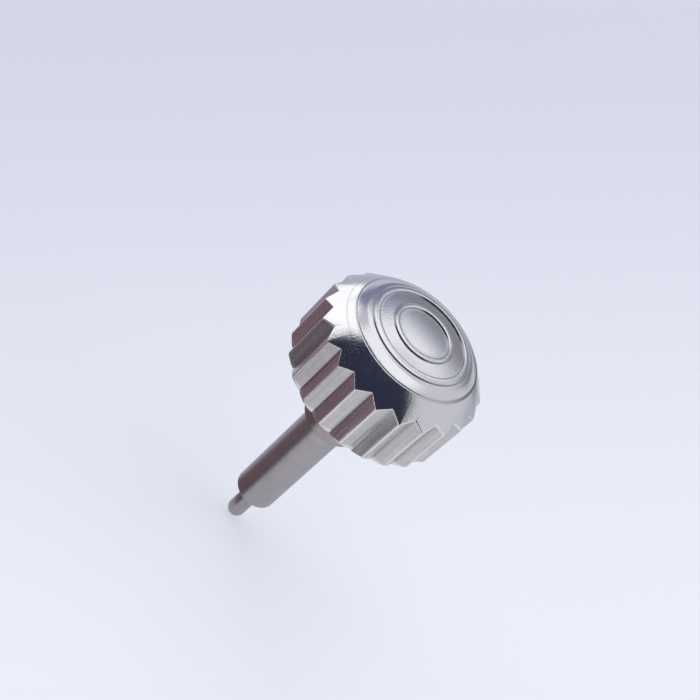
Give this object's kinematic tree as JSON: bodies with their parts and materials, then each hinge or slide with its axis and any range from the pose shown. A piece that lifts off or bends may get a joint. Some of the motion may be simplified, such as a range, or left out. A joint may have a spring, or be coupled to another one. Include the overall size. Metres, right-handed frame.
{
  "type": "watch crown",
  "caption": "Screw-down watch crown: fluted cap with raised rings on its dome, threaded core and seals for the case tube, and a sprung stem post that slides in a guide hub.",
  "frame": {"origin": "on the axis, at the plane of the skirt's back rim, which meets the case", "axes": "+Z out through the dome; the post and its pin point along -Z; +X through the crest of one flute"},
  "size_m": [0.006, 0.006, 0.0115],
  "materials": {
    "cap_steel": "polished",
    "core_steel": "satin",
    "washer_steel": "satin",
    "seal_rubber": "matte",
    "hub_steel": "satin",
    "spring_steel": "satin",
    "post_steel": "satin",
    "pin_steel": "satin"
  },
  "bodies": {
    "crown": {"crown_cap": "cap_steel", "thread_core": "core_steel", "seal_washer": "washer_steel", "mouth_seal": "seal_rubber", "tube_gasket": "seal_rubber", "gasket_washer": "washer_steel", "guide_hub": "hub_steel", "stop_sleeve": "hub_steel", "return_spring": "spring_steel"},
    "post": {"sliding_post": "post_steel", "joint_pin": "pin_steel"}
  },
  "joints": [
    {"name": "post_slide", "type": "slide", "parent": "crown", "child": "post", "axis": [0, 0, 1], "range_m": [0, 0.001], "stiffness_N_per_m": 500, "deforming": ["return_spring"]}
  ]
}
